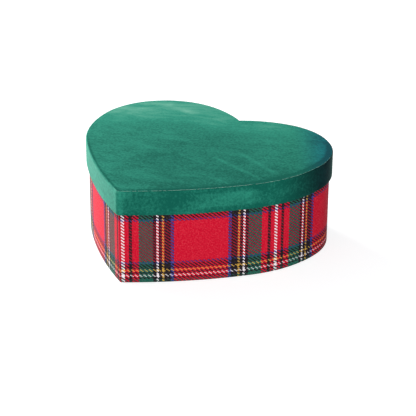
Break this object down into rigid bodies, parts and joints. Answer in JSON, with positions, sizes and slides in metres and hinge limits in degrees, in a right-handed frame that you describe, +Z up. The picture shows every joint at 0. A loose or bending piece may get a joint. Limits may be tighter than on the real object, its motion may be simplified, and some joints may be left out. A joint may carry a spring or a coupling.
{
  "type": "heart-shaped gift box",
  "caption": "Rigid heart-shaped gift box: a base wrapped in tartan cloth and lined with paper, under a lift-off lid covered in velvet.",
  "frame": {"origin": "on the table under the middle of the box", "axes": "+X to the right lobe, +Y from the tip to the cleft, +Z up"},
  "size_m": [0.24, 0.2198, 0.0907],
  "materials": {
    "tartan_cloth": "brushed twill tartan",
    "green_velvet": "short pile velvet",
    "grey_board": "plain grey board",
    "lining_paper": "uncoated lining paper",
    "stay_paper": "gummed kraft tape"
  },
  "bodies": {
    "base": {"base_floor_board": "grey_board", "base_wall_left": "grey_board", "base_wall_right": "grey_board", "base_tip_stay": "stay_paper", "base_cleft_stay": "stay_paper", "tartan_wrap": "tartan_cloth", "base_wall_liner": "lining_paper", "base_floor_liner": "lining_paper", "base_bottom_paper": "lining_paper"},
    "lid": {"lid_top_board": "grey_board", "lid_rim_left": "grey_board", "lid_rim_right": "grey_board", "lid_tip_stay": "stay_paper", "lid_cleft_stay": "stay_paper", "lid_rim_velvet": "green_velvet", "lid_top_velvet": "green_velvet", "lid_rim_liner": "lining_paper", "lid_top_liner": "lining_paper"}
  },
  "joints": [
    {"name": "lid_lift", "type": "slide", "parent": "base", "child": "lid", "axis": [0, 0, 1], "range_m": [0, 0.1]}
  ]
}
